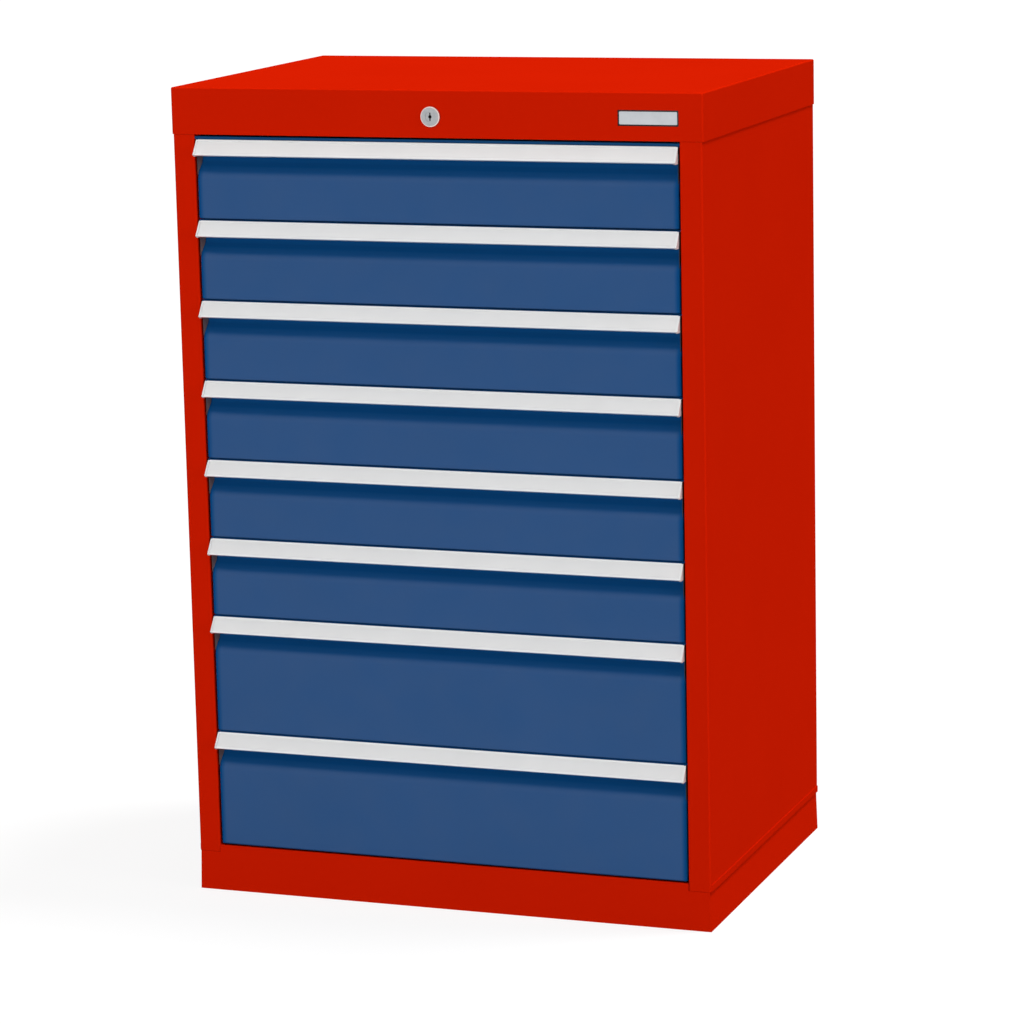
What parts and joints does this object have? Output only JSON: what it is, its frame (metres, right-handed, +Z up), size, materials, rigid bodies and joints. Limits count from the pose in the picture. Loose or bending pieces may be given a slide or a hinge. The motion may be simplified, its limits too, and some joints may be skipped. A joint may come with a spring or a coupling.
{
  "type": "drawer cabinet",
  "caption": "Free-standing steel drawer cabinet with folded full-width fronts, sloping label handles, a finger recess under each handle, telescopic slides and one central lock.",
  "frame": {"origin": "centre of the rectangle that the whole cabinet covers on the floor, at floor level", "axes": "+X to the right seen from the front, +Y to the back so that the drawers open along -Y, +Z up"},
  "size_m": [0.683, 0.4934, 1.021],
  "materials": {
    "body_paint": "satin red powder coat with a fine texture",
    "front_paint": "satin blue powder coat with a fine texture",
    "tray_paint": "satin light grey paint, guessed",
    "handle_aluminium": "natural anodised",
    "label_card": "plain card, matt",
    "cap_plastic": "light grey, satin",
    "zinc_steel": "bright zinc plated",
    "lock_metal": "nickel plated, satin",
    "plate_metal": "plain, without any text"
  },
  "bodies": {
    "cabinet": {"side_panels": "body_paint", "back_panel": "body_paint", "top_cover": "body_paint", "plinth": "body_paint", "base_panel": "body_paint", "uprights": "zinc_steel", "cabinet_rails": "zinc_steel", "lock_housing": "lock_metal", "name_plate": "plate_metal", "top_rail": "front_paint"},
    "lock": {"lock_plug": "lock_metal"},
    "lock_bar": {"locking_bar": "zinc_steel"},
    "drawer_1": {"drawer_tray_1": "tray_paint", "drawer_front_1": "front_paint", "handle_1": "handle_aluminium", "label_strip_1": "label_card", "end_caps_1": "cap_plastic"},
    "slides_1": {"middle_rails_1": "zinc_steel"},
    "drawer_2": {"drawer_tray_2": "tray_paint", "drawer_front_2": "front_paint", "handle_2": "handle_aluminium", "label_strip_2": "label_card", "end_caps_2": "cap_plastic"},
    "slides_2": {"middle_rails_2": "zinc_steel"},
    "drawer_3": {"drawer_tray_3": "tray_paint", "drawer_front_3": "front_paint", "handle_3": "handle_aluminium", "label_strip_3": "label_card", "end_caps_3": "cap_plastic"},
    "slides_3": {"middle_rails_3": "zinc_steel"},
    "drawer_4": {"drawer_tray_4": "tray_paint", "drawer_front_4": "front_paint", "handle_4": "handle_aluminium", "label_strip_4": "label_card", "end_caps_4": "cap_plastic"},
    "slides_4": {"middle_rails_4": "zinc_steel"},
    "drawer_5": {"drawer_tray_5": "tray_paint", "drawer_front_5": "front_paint", "handle_5": "handle_aluminium", "label_strip_5": "label_card", "end_caps_5": "cap_plastic"},
    "slides_5": {"middle_rails_5": "zinc_steel"},
    "drawer_6": {"drawer_tray_6": "tray_paint", "drawer_front_6": "front_paint", "handle_6": "handle_aluminium", "label_strip_6": "label_card", "end_caps_6": "cap_plastic"},
    "slides_6": {"middle_rails_6": "zinc_steel"},
    "drawer_7": {"drawer_tray_7": "tray_paint", "drawer_front_7": "front_paint", "handle_7": "handle_aluminium", "label_strip_7": "label_card", "end_caps_7": "cap_plastic"},
    "slides_7": {"middle_rails_7": "zinc_steel"},
    "drawer_8": {"drawer_tray_8": "tray_paint", "drawer_front_8": "front_paint", "handle_8": "handle_aluminium", "label_strip_8": "label_card", "end_caps_8": "cap_plastic"},
    "slides_8": {"middle_rails_8": "zinc_steel"}
  },
  "joints": [
    {"name": "drawer_1_slide", "type": "slide", "parent": "cabinet", "child": "drawer_1", "axis": [0, -1, 0], "range_m": [0, 0.43]},
    {"name": "middle_rails_1_slide", "type": "slide", "parent": "cabinet", "child": "slides_1", "axis": [0, -1, 0], "range_m": [0, 0.215]},
    {"name": "drawer_2_slide", "type": "slide", "parent": "cabinet", "child": "drawer_2", "axis": [0, -1, 0], "range_m": [0, 0.43]},
    {"name": "middle_rails_2_slide", "type": "slide", "parent": "cabinet", "child": "slides_2", "axis": [0, -1, 0], "range_m": [0, 0.215]},
    {"name": "drawer_3_slide", "type": "slide", "parent": "cabinet", "child": "drawer_3", "axis": [0, -1, 0], "range_m": [0, 0.43]},
    {"name": "middle_rails_3_slide", "type": "slide", "parent": "cabinet", "child": "slides_3", "axis": [0, -1, 0], "range_m": [0, 0.215]},
    {"name": "drawer_4_slide", "type": "slide", "parent": "cabinet", "child": "drawer_4", "axis": [0, -1, 0], "range_m": [0, 0.43]},
    {"name": "middle_rails_4_slide", "type": "slide", "parent": "cabinet", "child": "slides_4", "axis": [0, -1, 0], "range_m": [0, 0.215]},
    {"name": "drawer_5_slide", "type": "slide", "parent": "cabinet", "child": "drawer_5", "axis": [0, -1, 0], "range_m": [0, 0.43]},
    {"name": "middle_rails_5_slide", "type": "slide", "parent": "cabinet", "child": "slides_5", "axis": [0, -1, 0], "range_m": [0, 0.215]},
    {"name": "drawer_6_slide", "type": "slide", "parent": "cabinet", "child": "drawer_6", "axis": [0, -1, 0], "range_m": [0, 0.43]},
    {"name": "middle_rails_6_slide", "type": "slide", "parent": "cabinet", "child": "slides_6", "axis": [0, -1, 0], "range_m": [0, 0.215]},
    {"name": "drawer_7_slide", "type": "slide", "parent": "cabinet", "child": "drawer_7", "axis": [0, -1, 0], "range_m": [0, 0.43]},
    {"name": "middle_rails_7_slide", "type": "slide", "parent": "cabinet", "child": "slides_7", "axis": [0, -1, 0], "range_m": [0, 0.215]},
    {"name": "drawer_8_slide", "type": "slide", "parent": "cabinet", "child": "drawer_8", "axis": [0, -1, 0], "range_m": [0, 0.43]},
    {"name": "middle_rails_8_slide", "type": "slide", "parent": "cabinet", "child": "slides_8", "axis": [0, -1, 0], "range_m": [0, 0.215]},
    {"name": "lock_turn", "type": "hinge", "parent": "cabinet", "child": "lock", "pos_m": [0, -0.23533, 0.989], "axis": [0, 1, 0], "range_deg": [0, 90]},
    {"name": "lock_bar_lift", "type": "slide", "parent": "cabinet", "child": "lock_bar", "axis": [0, 0, 1], "range_m": [0, 0.008]}
  ],
  "couplings": [
    {"joint": "middle_rails_1_slide", "follows": "drawer_1_slide", "ratio": 0.5},
    {"joint": "middle_rails_2_slide", "follows": "drawer_2_slide", "ratio": 0.5},
    {"joint": "middle_rails_3_slide", "follows": "drawer_3_slide", "ratio": 0.5},
    {"joint": "middle_rails_4_slide", "follows": "drawer_4_slide", "ratio": 0.5},
    {"joint": "middle_rails_5_slide", "follows": "drawer_5_slide", "ratio": 0.5},
    {"joint": "middle_rails_6_slide", "follows": "drawer_6_slide", "ratio": 0.5},
    {"joint": "middle_rails_7_slide", "follows": "drawer_7_slide", "ratio": 0.5},
    {"joint": "middle_rails_8_slide", "follows": "drawer_8_slide", "ratio": 0.5},
    {"joint": "lock_turn", "follows": "lock_bar_lift", "rad_per_m": 196.35}
  ]
}
